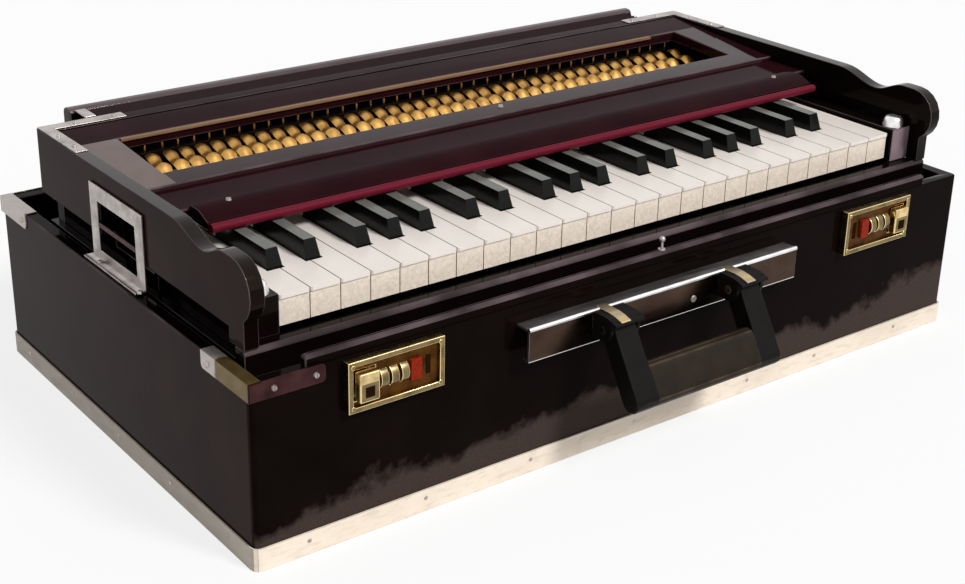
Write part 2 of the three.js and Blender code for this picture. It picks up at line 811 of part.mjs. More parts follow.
// Each spring is a flat brass strip that leans down from the rail onto its key.
function buildKeySprings() {
  const reachX = panelInside - skirtThickness - seatGap;
  const railBottom = keyTop + springRailAboveKeys;
  const springRailTop = railBottom + springRailHeight;
  const rail = block(
    [-reachX, reachX],
    [springRailY, springRailY + springRailDepth],
    [railBottom, springRailTop],
  );
  const springTipY = springRailY - springLength;
  const tipZ = keyTop + springTipAboveKey;
  const solids = [rail];
  const keys = keyLayout();
  keys.forEach((key, i) => {
    const [tailLeft, tailRight] = tailLimits(key, keys[i - 1], keys[i + 1]);
    const x = key.x + (tailLeft + tailRight) * half;
    const strip = alongX(
      [
        [springRailY + overrun, springRailTop - springSheet],
        [springRailY + overrun, springRailTop],
        [springTipY, tipZ + springSheet],
        [springTipY, tipZ],
      ],
      [x - springWidth * half, x + springWidth * half],
    );
    const pinLength = guidePinHeight + overrun;
    const pin = new THREE.CylinderGeometry(guidePinRadius, guidePinRadius, pinLength, guidePinSides);
    pin.rotateX(Math.PI * half);
    pin.translate(x, springRailY + springRailDepth * half, springRailTop - overrun + pinLength * half);
    solids.push(strip, toSolid(pin));
  });
  addPiece(harmonium, "key_springs", join(solids), brass);
}

function buildBellows() {
  const bottom = bellowsBoardBottom + bellowsEdgeRadius;
  const startY = unitBackY + seatGap;
  const pitch = (foldStack - seatGap * 2) / foldCount;
  const reachX = bellowsBoardHalf - foldEndInset;
  const solids = [block(
    [-reachX + foldInset, reachX - foldInset],
    [startY, startY + pitch * foldCount],
    [bottom, bottom + foldHeight - foldInset],
  )];
  for (let i = 0; i < foldCount; i += 1) {
    const from = startY + pitch * (i + (1 - ridgeShare) * half);
    solids.push(block([-reachX, reachX], [from, from + pitch * ridgeShare], [bottom, bottom + foldHeight]));
  }
  addPiece(harmonium, "bellows_folds", join(solids), foldCloth);
  const boardY = unitBackY + foldStack;
  const edge = bellowsEdgeRadius;
  const outline = [
    [boardY, bellowsBoardBottom],
    [boardY + bellowsBoardThickness, bellowsBoardBottom],
    ...arc([boardY + bellowsBoardThickness - edge, bellowsBoardTop - edge], edge, 0, 90, cornerSteps),
    ...arc([boardY + edge, bellowsBoardTop - edge], edge, 90, 180, cornerSteps),
  ];
  addPiece(harmonium, "bellows_board", alongX(outline, [-bellowsBoardHalf, bellowsBoardHalf]), lacquer);
}

buildCase();
buildTrim();
buildBracket(-1);
buildBracket(1);
buildRail();
buildHandle();
buildLatch(-1);
buildLatch(1);
buildWindChest();
buildSidePanel(-1);
buildSidePanel(1);
buildTopFrame();
buildFallBoard();
buildKeySprings();
buildBellows();
buildKeys();

export default harmonium;
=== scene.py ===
"""Looks of a folding suitcase harmonium with 42 keys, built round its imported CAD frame.

Metres, +Z up, bass at -X, the player at -Y. The origin is the middle of the case's underside.
The calls that build shapes and the tests in them take millimetres.
"""

from functools import partial
from math import exp, radians

import bmesh
import bpy
from bpy.props import FloatProperty, FloatVectorProperty, PointerProperty
from mathutils import Matrix, Vector
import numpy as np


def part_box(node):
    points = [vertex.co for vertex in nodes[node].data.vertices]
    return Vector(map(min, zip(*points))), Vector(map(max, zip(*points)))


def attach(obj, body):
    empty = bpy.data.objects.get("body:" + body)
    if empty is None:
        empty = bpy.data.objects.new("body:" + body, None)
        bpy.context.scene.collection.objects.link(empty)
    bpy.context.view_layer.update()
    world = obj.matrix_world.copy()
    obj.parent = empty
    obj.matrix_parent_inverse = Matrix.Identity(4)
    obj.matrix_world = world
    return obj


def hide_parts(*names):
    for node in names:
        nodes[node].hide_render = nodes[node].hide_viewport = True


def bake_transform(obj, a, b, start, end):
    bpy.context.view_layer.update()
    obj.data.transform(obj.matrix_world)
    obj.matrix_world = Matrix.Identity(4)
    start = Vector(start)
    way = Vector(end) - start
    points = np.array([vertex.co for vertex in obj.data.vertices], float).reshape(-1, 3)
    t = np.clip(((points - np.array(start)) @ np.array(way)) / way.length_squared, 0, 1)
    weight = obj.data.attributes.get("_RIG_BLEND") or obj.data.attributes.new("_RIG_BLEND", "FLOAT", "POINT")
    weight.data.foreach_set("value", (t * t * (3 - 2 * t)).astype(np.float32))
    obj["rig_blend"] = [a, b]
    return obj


bl_info = {
    "name": "Folding harmonium",
    "version": (1, 0, 0),
    "blender": (4, 5, 0),
    "location": "View3D > Sidebar > Harmonium",
    "description": "Dresses the CAD frame of a folding harmonium",
    "category": "Add Mesh",
}

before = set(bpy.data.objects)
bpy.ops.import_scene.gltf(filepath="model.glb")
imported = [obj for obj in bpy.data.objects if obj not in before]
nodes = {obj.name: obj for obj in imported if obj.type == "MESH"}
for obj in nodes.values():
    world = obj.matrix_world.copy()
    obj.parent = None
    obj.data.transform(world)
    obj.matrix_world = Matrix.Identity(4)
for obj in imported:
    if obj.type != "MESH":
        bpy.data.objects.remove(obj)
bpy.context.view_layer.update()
MM = 0.001
KEYS = sorted(n for n in nodes if n.startswith("key_") and n != "key_springs")
SIDES = (("left", -1), ("right", 1))
UP = (0, 0, 1)
UNIT = "keyboard_unit"
# A face looks along an axis when its normal has this share of it
FACING = 0.9
# Outside of the case's walls, and the height of its rim
HALF_X, HALF_Y, RIM = 311, 181, 123

# The camera as fitted to the photograph: degrees, metres, and shares of the picture's width
CAMERA_TURN, CAMERA_RISE, CAMERA_ROLL = -36.467, 22.905, 0.863
CAMERA_AT = (-0.694027, -0.890397, 0.538831)
CAMERA_LENS, CAMERA_SHIFT = 59.93, (0.0295, -0.0334)
LAMP_FROM, LAMP_ENERGY, LAMP_ANGLE = (0.32, -0.76, 0.82), 2.5, 14
SKY_ON_OBJECT = 0.38
FLOOR_SIZE, FLOOR_WHITE = 6, 0.8


def linear(code):
    """Linear colour of an sRGB hex value."""
    values = [int(code[i : i + 2], 16) / 255 for i in (0, 2, 4)]
    return [v / 12.92 if v <= 0.04045 else ((v + 0.055) / 1.055) ** 2.4 for v in values]


def colour(name, code, text):
    kind = {"subtype": "COLOR", "size": 3, "min": 0, "max": 1}
    return FloatVectorProperty(name=name, description=text, default=linear(code), **kind)


def length(name, millimetres, text):
    kind = {"unit": "LENGTH", "subtype": "DISTANCE", "min": 0}
    return FloatProperty(name=name, description=text, default=millimetres * MM, **kind)


class HarmoniumColours(bpy.types.PropertyGroup):
    lacquer: colour("Case lacquer", "0b0605", "Nearly black maroon lacquer")
    lacquer_worn: colour("Rubbed lacquer", "5d5054", "Lacquer rubbed by hands")
    reflection: colour("Lacquer reflections", "e6d2c4", "Warm tint of its reflections")
    dust: colour("Dust", "907c74", "Dust film low on the case")
    wall: colour("Side wall lacquer", "20120f", "Faded brown lacquer")
    faded: colour("Faded lacquer", "5c4e4a", "Frame's border, faded by light")
    board: colour("Board lacquer", "200a0f", "Browner lacquer of boards")
    hollow: colour("Dark hollow", "1c1006", "Inside of slots and recesses")
    band: colour("Foot band", "eee0ce", "Cream band round the case")
    band_dirt: colour("Band dirt", "b0a090", "Dirt on the foot band")
    nickel: colour("Nickel", "b9b1ac", "Dull nickel of brackets and screws")
    chrome: colour("Chrome", "c9c4c0", "Plated rail of the handle")
    bright: colour("Bright chrome", "f9f9f9", "Chrome kept bright by hands")
    rail_front: colour("Rail front", "4c3b31", "Browned front of the rail")
    rail_edge: colour("Rail front edge", "cbcbcb", "Edges of the browned front")
    brass: colour("Brass", "f0d49a", "Lacquered brass of the latches")
    latch_well: colour("Latch well", "5c3a16", "Tarnished brass inside the latches")
    spring: colour("Spring", "cc9d58", "Golden brass of the key springs")
    olive_brass: colour("Worn brass", "6b5830", "Olive brass of the corner pieces")
    bronzed: colour("Bronzed steel", "4a2e2e", "Brown steel of the front corners")
    grip: colour("Grip", "1d1710", "Grained dark plastic")
    arms: colour("Handle arms", "090706", "Moulded black plastic")
    key_plate: colour("Key plate", "f4ebe2", "Cream celluloid of the white keys")
    key_front: colour("Key front", "efe0cf", "Pearl celluloid of their fronts")
    key_wood: colour("Key wood", "cbb08a", "Pale wood of their bodies")
    black_key: colour("Black key", "0c0e0b", "Polished black of the sharps")
    black_key_top: colour("Black key top", "74746e", "Sharps' tops, greyed by fingers")
    bead: colour("Bead", "660822", "Red felt bead along the fall board")
    slider: colour("Slider", "8a2004", "Red enamel of the latch sliders")
    folds: colour("Bellows folds", "220d11", "Cloth and card of the bellows")
    strip: colour("Light wood", "8a6a4c", "Bare light wood inside the window")
    floor: colour("Floor", "f7f7f7", "White paper under the harmonium")
    sky: colour("Room", "ffffff", "Pale room round the harmonium")


class HarmoniumSizes(bpy.types.PropertyGroup):
    edge: length("Edge round", 1.0, "Rounding of the wooden edges")
    metal_edge: length("Metal edge", 0.35, "Rounding of the sheet metal's edges")
    cast_edge: length("Cast edge", 0.45, "Rounding of the rail's and the latches' edges")
    key_edge: length("Key edge", 0.35, "Rounding of the white keys' edges")
    key_corner: length("Key corner", 2.2, "Rounding of the white keys' front corners")
    sharp_edge: length("Sharp edge", 1.0, "Rounding of the black keys' edges")
    grip_edge: length("Grip edge", 2.5, "Rounding of the handle's edges")
    screw: length("Screw radius", 2.2, "Radius of a screw head")
    nail: length("Nail radius", 1.4, "Radius of a nail head on the foot band")
    sheet: length("Corner sheet", 0.9, "Thickness of the corner pieces' metal")


def shade(tone, factor):
    return [min(1, c * factor) for c in tone]


def chosen_colour(name, factor=1):
    """A colour from the panel, made lighter or darker by a factor."""
    return shade(getattr(bpy.context.scene.harmonium_colours, name), factor)


def size(name):
    """A size from the panel, in millimetres."""
    return getattr(bpy.context.scene.harmonium_sizes, name) / MM


# Materials


def add_node(tree, kind, inputs=None, stops=(), **settings):
    """Adds a node with its settings and links, and gives its outputs.

    An input is a constant, a linear colour as a list, another node's output, or an output with
    the stops of a colour ramp over it. A stop is a place with a linear colour or a grey.
    """
    node = tree.nodes.new(f"ShaderNode{kind}")
    for name, value in settings.items():
        setattr(node, name, value)
    for name, value in (inputs or {}).items():
        if isinstance(value, tuple) and isinstance(value[0], bpy.types.NodeSocket):
            value = add_node(tree, "ValToRGB", {"Fac": value[0]}, value[1:])[0]
        if isinstance(value, bpy.types.NodeSocket):
            tree.links.new(value, node.inputs[name])
        else:
            node.inputs[name].default_value = (*value, 1) if isinstance(value, list) else value
    for _ in stops[2:]:
        node.color_ramp.elements.new(0.5)
    for index, (place, tone) in enumerate(stops):
        element = node.color_ramp.elements[index]
        element.position = place
        element.color = (*tone, 1) if isinstance(tone, list) else (tone, tone, tone, 1)
    return node.outputs


def patches(where, width, roughness=0.5, detail=4):
    """Inputs of a noise whose patches are width millimetres across."""
    return {"Vector": where, "Scale": 1 / (width * MM), "Detail": detail, "Roughness": roughness}


def relief(height, depth, strength):
    """Inputs of a bump that is depth millimetres deep."""
    return {"Height": height, "Distance": depth * MM, "Strength": strength}


def worn(add, patch, body, bare):
    """Body colour that gives way to bare on the rounded edges, more so in some patches: wear, and on lacquer
    and plastic mostly a painted highlight in place of reflections off the rounds.
    """
    edge = add("Attribute", attribute_name="rubbed")["Fac"]
    rub = add("Math", {0: edge, 1: (patch, (0.38, 0.35), (0.62, 1))}, operation="MULTIPLY")[0]
    return add("Mix", {"Factor": rub, "A": body, "B": bare}, data_type="RGBA")["Result"]


def dust_film(add, where, fine, height):
    """Share of dust and painted floor reflection on a wall: a ragged film up to about height, a bit more at
    the treble end.
    """
    lean = {0: where, 1: (-0.03, 0, 1)}
    level = add("VectorMath", lean, operation="DOT_PRODUCT")["Value"]
    cloud = add("TexNoise", patches(where, 80, 0.62, 8))["Fac"]
    uneven = add("Math", {0: cloud, 1: 90 * MM, 2: level}, operation="MULTIPLY_ADD")[0]
    ends = {"From Min": (height + 50) * MM, "From Max": (height + 42) * MM}
    film = add("MapRange", {"Value": uneven, "To Min": 0, "To Max": 0.19, **ends})[0]
    specks = (fine, (0.35, 0.7), (0.65, 1))
    return add("Math", {0: film, 1: specks}, operation="MULTIPLY")[0]


def lacquer(add, where, tone, shine, dusty=0):
    """Sprayed polyester lacquer on wood: deep and dark, with sharp reflections and rubbed edges.

    dusty is the height in millimetres up to which a film of dust and painted floor reflection lies on it.
    """
    patch = add("TexNoise", patches(where, 45))["Fac"]
    fine = add("TexNoise", patches(where, 1.6, 0.7))["Fac"]
    body = (patch, (0.3, tone), (0.75, shade(tone, 1.7)))
    # Rounded edges take the rubbed lacquer colour: some wear, mostly a painted highlight of the sky
    base = worn(add, patch, body, chosen_colour("lacquer_worn"))
    if dusty:
        # The dust film also paints in the floor's reflection low on the case
        film = dust_film(add, where, fine, dusty)
        dusted = {"Factor": film, "A": base, "B": chosen_colour("dust")}
        base = add("Mix", dusted, data_type="RGBA")["Result"]
    # Orange peel of a sprayed coat is 6 mm across and a few hundredths deep
    peel = add("TexNoise", patches(where, 6, 0.5, 2))["Fac"]
    return {
        "Base Color": base,
        "Roughness": (fine, (0.3, 0.04), (0.8, 0.12)),
        "Specular IOR Level": shine,
        "Specular Tint": chosen_colour("reflection"),
        "Normal": add("Bump", relief(peel, 0.02, 0.6))[0],
    }


def painted_band(add, where, tone, dirt):
    """Satin cream paint on a rolled aluminium strip: soft shine, dirt in streaks and on edges."""
    rolled = add("Mapping", {"Vector": where, "Scale": (1, 1, 4)})[0]
    streak = add("TexNoise", patches(rolled, 14, 0.6))["Fac"]
    patch = add("TexNoise", patches(where, 90))["Fac"]
    pores = add("TexNoise", patches(where, 2.5))["Fac"]
    shaded = tone
    for marks, start, soil in ((streak, 0.5, dirt), (patch, 0.45, shade(dirt, 1.2))):
        soiled = {"Factor": (marks, (start, 0), (0.8, 0.5)), "A": shaded, "B": soil}
        shaded = add("Mix", soiled, data_type="RGBA")["Result"]
    return {
        "Base Color": worn(add, patch, shaded, shade(dirt, 0.5)),
        "Roughness": (streak, (0.3, 0.32), (0.8, 0.6)),
        "Normal": add("Bump", relief(pores, 0.04, 0.5))[0],
    }


def plated(add, where, tone, dull, edge=None, smooth=0.25, rough=0.5, grain=3, along=(1, 1, 1)):
    """Plated or polished metal: coloured reflections, duller where tarnished or scratched.

    edge is the colour of its rounded edges: partly where hands keep it bright, mostly a painted highlight.
    grain is in millimetres.
    """
    patch = add("TexNoise", patches(where, grain * 4))["Fac"]
    drawn = add("Mapping", {"Vector": where, "Scale": along})[0]
    scratch = add("TexNoise", patches(drawn, grain, 0.75, 6))["Fac"]
    tarnished = {"Factor": (patch, (0.38, 0), (0.72, 1)), "A": tone, "B": dull}
    body = add("Mix", tarnished, data_type="RGBA")["Result"]
    if edge:
        rub = add("Attribute", attribute_name="rubbed")["Fac"]
        body = add("Mix", {"Factor": rub, "A": body, "B": edge}, data_type="RGBA")["Result"]
    return {
        "Metallic": 1,
        "Base Color": body,
        "Roughness": (scratch, (0.3, smooth), (0.75, rough)),
        "Normal": add("Bump", relief(scratch, 0.03, 0.5))[0],
    }


def worn_plate(add, where, tone, bare, start, end):
    """Thin brass plate on a corner: olive, rubbed to pale bare metal towards one end.

    It goes from olive to bare between start and end, in millimetres along Y.
    """
    depth = add("SeparateXYZ", {0: where})["Y"]
    span = {"From Min": start * MM, "From Max": end * MM, "To Min": -0.2, "To Max": 1.2}
    nearness = add("MapRange", {"Value": depth, **span}, clamp=False)[0]
    patch = add("TexNoise", patches(where, 7, 0.6))["Fac"]
    ragged = add("Math", {0: patch, 1: 0.8, 2: nearness}, operation="MULTIPLY_ADD")[0]
    rubbed = {"Factor": (ragged, (0.85, 0), (1, 1)), "A": tone, "B": bare}
    return {
        "Metallic": 0.75,
        "Base Color": add("Mix", rubbed, data_type="RGBA")["Result"],
        "Roughness": (patch, (0.3, 0.32), (0.8, 0.55)),
        "Normal": add("Bump", relief(patch, 0.05, 0.5))[0],
    }


def grained_plastic(add, where, tone, grain, deep, smooth, rough):
    """Moulded plastic with a leather grain: soft broken shine. grain and deep are millimetres."""
    cells = add("TexVoronoi", {"Vector": where, "Scale": 1 / (grain * MM)})["Distance"]
    patch = add("TexNoise", patches(where, 12))["Fac"]
    body = (patch, (0.3, tone), (0.8, shade(tone, 1.8)))
    return {
        # Rounded edges five times lighter: a painted highlight, and some wear
        "Base Color": worn(add, patch, body, shade(tone, 5)),
        "Roughness": (cells, (0.1, smooth), (0.9, rough)),
        "Specular IOR Level": 0.08,
        "Normal": add("Bump", relief(cells, deep, 0.7))[0],
    }


def celluloid(add, where, tone):
    """Polished cream celluloid: smooth and bright, yellowed in patches, dull where fingers play."""
    patch = add("TexNoise", patches(where, 30))["Fac"]
    body = (patch, (0.3, tone), (0.8, shade(tone, 0.93)))
    smears = add("TexNoise", patches(where, 5))["Fac"]
    swell = add("TexNoise", patches(where, 9, 0.4, 2))["Fac"]
    return {
        "Base Color": worn(add, patch, body, shade(tone, 0.7)),
        "Roughness": (smears, (0.3, 0.3), (0.8, 0.4)),
        "Normal": add("Bump", relief(swell, 0.02, 0.5))[0],
    }


def pearl_celluloid(add, where, tone):
    """Pearl celluloid sheet: small flakes that turn light or dark, under a clear skin."""
    bent = add("TexNoise", patches(where, 6, detail=3))["Color"]
    swirl = add("VectorMath", {0: bent, 3: 5 * MM}, operation="SCALE")[0]
    moved = add("VectorMath", {0: where, 1: swirl}, operation="ADD")[0]
    flakes = add("TexVoronoi", {"Vector": moved, "Scale": 1 / (1.8 * MM)})["Color"]
    return {
        "Base Color": (flakes, (0.1, shade(tone, 0.9)), (0.5, tone), (0.9, shade(tone, 1.1))),
        "Roughness": 0.3,
        "Coat Weight": 0.4,
        "Coat Roughness": 0.12,
    }


def bare_wood(add, where, tone, along):
    """Bare light wood: matt, with a fine straight grain."""
    drawn = add("Mapping", {"Vector": where, "Scale": along})[0]
    grain = add("TexNoise", patches(drawn, 1.4, 0.6, 5))["Fac"]
    return {
        "Base Color": (grain, (0.3, shade(tone, 0.6)), (0.7, tone)),
        "Roughness": (grain, (0.3, 0.6), (0.8, 0.8)),
        "Normal": add("Bump", relief(grain, 0.08, 0.6))[0],
    }


def polished_black(add, where, tone, played):
    """Polished black plastic of the sharps: mirror sides, tops greyed by fine finger scratches and a painted
    reflection of the sky.
    """
    drawn = add("Mapping", {"Vector": where, "Scale": (1, 0.15, 1)})[0]
    scratch = add("TexNoise", patches(drawn, 0.8, 0.7, 5))["Fac"]
    up = add("SeparateXYZ", {0: add("NewGeometry")["Normal"]})["Z"]
    grey = (scratch, (0.3, shade(played, 0.55)), (0.7, played))
    topped = {"Factor": (up, (0.6, 0), (0.95, 1)), "A": tone, "B": grey}
    return {
        "Base Color": add("Mix", topped, data_type="RGBA")["Result"],
        "Roughness": (scratch, (0.3, 0.1), (0.8, 0.3)),
        "Specular IOR Level": 0.15,
    }


def felt(add, where, tone, fibre):
    """Pressed felt or cloth: matt, with small tufts and a soft bright nap at grazing angles."""
    tufts = add("TexNoise", patches(where, fibre, 0.7, 5))["Fac"]
    return {
        "Base Color": (tufts, (0.3, shade(tone, 0.6)), (0.75, shade(tone, 1.25))),
        "Roughness": 0.62,
        "Specular IOR Level": 0.15,
        "Sheen Weight": 0.12,
        "Sheen Roughness": 0.4,
        "Sheen Tint": shade(tone, 3),
        "Normal": add("Bump", relief(tufts, 0.15, 0.7))[0],
    }


def enamel(add, where, tone):
    """Gloss enamel on a small metal slider, chipped to a darker red."""
    chips = add("TexNoise", patches(where, 1.6, 0.7))["Fac"]
    return {
        "Base Color": (chips, (0.35, shade(tone, 0.35)), (0.5, tone)),
        "Roughness": (chips, (0.3, 0.45), (0.6, 0.3)),
        "Specular IOR Level": 0.08,
    }


def look(surface, title, *tones, **measures):
    """A finish: surface, name, colours (plain or with a factor) and measures."""
    return surface, title, tones, measures


FINISHES = {
    "case": look(lacquer, "dusty maroon black gloss lacquer", "lacquer", shine=0.02, dusty=34),
    "panel": look(lacquer, "maroon black gloss lacquer", "lacquer", shine=0.07),
    "frame": look(lacquer, "maroon brown gloss lacquer", "board", shine=0.12),
    "faded": look(lacquer, "lacquer faded by light", "faded", shine=0.15),
    "board": look(lacquer, "fall board gloss lacquer", "board", shine=0.01),
    "wall": look(lacquer, "side wall gloss lacquer", "wall", shine=0.022),
    "panel_top": look(lacquer, "gloss lacquer that faces the sky", "lacquer", shine=0.2),
    "hazed": look(lacquer, "lacquer hazed by handling", ("lacquer_worn", 0.7), shine=0.1),
    "worn_front": look(lacquer, "lacquer rubbed grey", ("lacquer_worn", 1.7), shine=0.1),
    "hollow": look(lacquer, "dark hollow", "hollow", shine=0),
    "band": look(painted_band, "satin cream painted strip", "band", "band_dirt"),
    "band_side": look(
        painted_band, "satin cream painted strip, dirtier", ("band", 0.55), "band_dirt"
    ),
    "nickel": look(plated, "dull nickel plate", "nickel", ("nickel", 0.6)),
    # Chrome with a painted highlight on its rounded edges
    "chrome": look(
        plated, "chrome plate", "chrome", ("chrome", 0.7), "bright",
        rough=0.45, grain=4, along=(0.1, 1, 1),
    ),
    "chrome_bright": look(plated, "bright chrome plate", "bright", "chrome", rough=0.4),
    # The rail's front: chrome painted dark brown as its reflection, with a painted highlight on its edges
    "rail_front": look(
        plated, "browned chrome plate", "rail_front", ("rail_front", 0.6), "rail_edge",
        smooth=0.12, rough=0.3, grain=6, along=(0.2, 1, 1),
    ),
    "strap": look(plated, "brassed steel strap", ("brass", 0.66), ("nickel", 0.7), grain=2),
    # Latch brass: a dark body with a painted highlight on its rounded edges
    "brass": look(
        plated, "lacquered brass", ("brass", 0.3), ("brass", 0.14), "brass",
        smooth=0.2, rough=0.42, grain=2,
    ),
    "spring": look(
        plated, "rolled brass spring", "spring", ("spring", 0.55),
        smooth=0.36, rough=0.55, grain=1.5,
    ),
    "button": look(
        plated, "bright brass button", "brass", ("brass", 0.4),
        smooth=0.2, rough=0.4, grain=2,
    ),
    "dark_brass": look(
        plated, "tarnished brass", "latch_well", ("latch_well", 0.4),
        smooth=0.35, rough=0.6, grain=2,
    ),
    "front_corner": look(
        plated, "bronzed steel sheet", "bronzed", ("bronzed", 0.5), smooth=0.35, rough=0.6
    ),
    "front_side_corner": look(
        worn_plate, "worn brass sheet, front", "olive_brass", "nickel", start=-150, end=-136
    ),
    "rear_side_corner": look(
        worn_plate, "worn brass sheet, rear", "olive_brass", "nickel", start=120, end=150
    ),
    "grip": look(
        grained_plastic, "grained grip plastic", "grip",
        grain=1.3, deep=0.12, smooth=0.4, rough=0.6,
    ),
    "arms": look(
        grained_plastic, "moulded black plastic", "arms",
        grain=0.8, deep=0.04, smooth=0.35, rough=0.55,
    ),
    "key_plate": look(celluloid, "cream celluloid", "key_plate"),
    "key_front": look(pearl_celluloid, "pearl celluloid", "key_front"),
    "key_wood": look(bare_wood, "bare lime wood", "key_wood", along=(1, 0.08, 1)),
    "strip": look(bare_wood, "bare light wood", "strip", along=(0.06, 1, 1)),
    "black_key": look(polished_black, "polished black plastic", "black_key", "black_key_top"),
    "bead": look(felt, "red felt", "bead", fibre=1),
    "folds": look(felt, "bellows cloth", "folds", fibre=0.8),
    "slider": look(enamel, "red enamel", "slider"),
}
made = {}


def start_tree(owner):
    """Empties the owner's node tree and gives the call that adds a node to it."""
    owner.use_nodes = True
    owner.node_tree.nodes.clear()
    return partial(add_node, owner.node_tree)


def finish(name):
    """Material of that finish, made once, over the piece's own coordinates."""
    if name not in made:
        surface, title, tones, measures = FINISHES[name]
        made[name] = bpy.data.materials.new(title)
        add = start_tree(made[name])
        where = add("TexCoord")["Object"]
        tones = [[tone] if isinstance(tone, str) else tone for tone in tones]
        tones = [chosen_colour(*tone) for tone in tones]
        shader = add("BsdfPrincipled", surface(add, where, *tones, **measures))
        add("OutputMaterial", {"Surface": shader[0]})
    return made[name]


# Meshes


def box(node):
    """A CAD node's lowest and highest corners, in millimetres."""
    return [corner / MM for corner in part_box(node)]


def shape_of(node):
    """Copy of a CAD node's mesh, with its corners joined."""
    bm = bmesh.new()
    bm.from_mesh(nodes[node].data)
    bmesh.ops.remove_doubles(bm, verts=bm.verts, dist=0.005 * MM)
    return bm


def join_flats(bm):
    """Makes one face of the triangles of each flat side."""
    bmesh.ops.dissolve_limit(bm, angle_limit=radians(1), verts=bm.verts, edges=bm.edges)


def rounded(node, edge, steps=2, wide=None, wide_edge=0):
    """Copy of a CAD node with its sharp edges rounded, and a mark on the rounds for wear and a painted
    highlight.

    Edges whose two ends pass the test wide get wide_edge first.
    """
    bm = shape_of(node)
    join_flats(bm)
    if wide:
        chosen = [e for e in bm.edges if all(wide(v.co / MM) for v in e.verts)]
        round_edges(bm, wide_edge, 4, chosen=chosen)
    round_edges(bm, edge, steps)
    return bm


def round_edges(bm, edge, steps=2, crease=25, chosen=None):
    """Rounds the edges sharper than crease degrees, or the chosen ones."""
    # The mark on the rounds carries wear and a painted highlight
    mark = bm.faces.layers.float.get("rubbed") or bm.faces.layers.float.new("rubbed")
    sharp = chosen or [
        e
        for e in bm.edges
        if len(e.link_faces) == 2 and e.is_convex and e.calc_face_angle() > radians(crease)
    ]
    kind = {"profile": 0.5, "affect": "EDGES", "clamp_overlap": True, "material": -1}
    for face in bmesh.ops.bevel(bm, geom=sharp, offset=edge * MM, segments=steps, **kind)["faces"]:
        face[mark] = 1


def unrubbed(bm, test):
    """Takes the mark of wear and painted highlight off the faces whose middle passes the test."""
    mark = bm.faces.layers.float["rubbed"]
    for face in bm.faces:
        if test(face.calc_center_median() / MM):
            face[mark] = 0


def cut(bm, place, across, clear=False):
    """Splits faces along a plane, or clears what is in front of it. Gives what lies on the cut."""
    plane = {"plane_co": [c * MM for c in place], "plane_no": across, "clear_outer": clear}
    geom = bm.verts[:] + bm.edges[:] + bm.faces[:]
    return bmesh.ops.bisect_plane(bm, geom=geom, **plane)["geom_cut"]


def block(low, high, edge=0):
    """Box between two corners, with its edges rounded."""
    bm = bmesh.new()
    low, high = Vector(low) * MM, Vector(high) * MM
    place = Matrix.Translation((low + high) / 2) @ Matrix.Diagonal((*(high - low), 1))
    bmesh.ops.create_cube(bm, size=1, matrix=place)
    if edge:
        round_edges(bm, edge, chosen=bm.edges[:])
    return bm


def towards(direction):
    """Turn that takes +Z to a direction."""
    return Vector(direction).to_track_quat("Z", "Y").to_matrix().to_4x4()


def disc(bm, centre, direction, radius, height, segments=24, edge=0, tip=1):
    """Round plug that stands on centre along direction. tip is the share of radius at its top."""
    foot, radius, height = Vector(centre) * MM, radius * MM, height * MM
    place = Matrix.Translation(foot) @ towards(direction) @ Matrix.Translation((0, 0, height / 2))
    shape = {"segments": segments, "radius1": radius, "radius2": radius * tip, "depth": height}
    plug = bmesh.ops.create_cone(bm, cap_ends=True, matrix=place, **shape)["verts"]
    if edge:
        top = [v for v in plug if (place.inverted() @ v.co).z > 0]
        rim = [e for e in {e for v in top for e in v.link_edges} if all(v in top for v in e.verts)]
        round_edges(bm, edge, chosen=rim)
    return bm


def screw(bm, centre, direction, radius):
    """Domed screw head with a slot, its foot sunk a little in what it holds."""
    slot, head = radius * 0.14, bmesh.new()
    radius *= MM
    tip, height, sunk, slot_depth = (radius * share for share in (0.72, 0.7, 0.2, 0.25))
    shape = {"segments": 20, "radius1": radius, "radius2": tip, "depth": height}
    bmesh.ops.create_cone(head, cap_ends=True, **shape)
    for side in (-slot, slot):
        cut(head, (side, 0, 0), (1, 0, 0))
    near, tops = radius * 0.05, [f for f in head.faces if f.normal.z > FACING]
    middle = [f for f in tops if abs(f.calc_center_median().x) < near]
    bmesh.ops.inset_region(head, faces=middle, thickness=near, depth=0)
    bmesh.ops.inset_region(head, faces=middle, thickness=radius * 0.01, depth=-slot_depth)
    foot = Matrix.Translation(Vector(centre) * MM)
    place = foot @ towards(direction) @ Matrix.Translation((0, 0, sunk))
    bmesh.ops.transform(head, matrix=place, verts=head.verts)
    append(bm, head)


def append(bm, other):
    """Adds another bmesh to bm and frees it."""
    scratch = bpy.data.meshes.new("scratch")
    other.to_mesh(scratch)
    other.free()
    bm.from_mesh(scratch)
    bpy.data.meshes.remove(scratch)


def extruded(outline, step, edge=0, steps=2):
    """Prism from a closed outline of points, drawn along step."""
    bm = bmesh.new()
    face = bm.faces.new([bm.verts.new(Vector(p) * MM) for p in outline])
    grown = bmesh.ops.extrude_face_region(bm, geom=[face])["geom"]
    tops = [v for v in grown if isinstance(v, bmesh.types.BMVert)]
    bmesh.ops.translate(bm, vec=Vector(step) * MM, verts=tops)
    if edge:
        round_edges(bm, edge, steps, chosen=bm.edges[:])
    return bm


def paint(bm, index, test):
    """Gives faces another material of the piece where test of their middle and normal holds."""
    bm.normal_update()
    for face in bm.faces:
        if test(face.calc_center_median() / MM, face.normal):
            face.material_index = index


def add_object(name, data):
    """Adds an object with that data to the scene."""
    item = bpy.data.objects.new(name, data)
    bpy.context.scene.collection.objects.link(item)
    return item


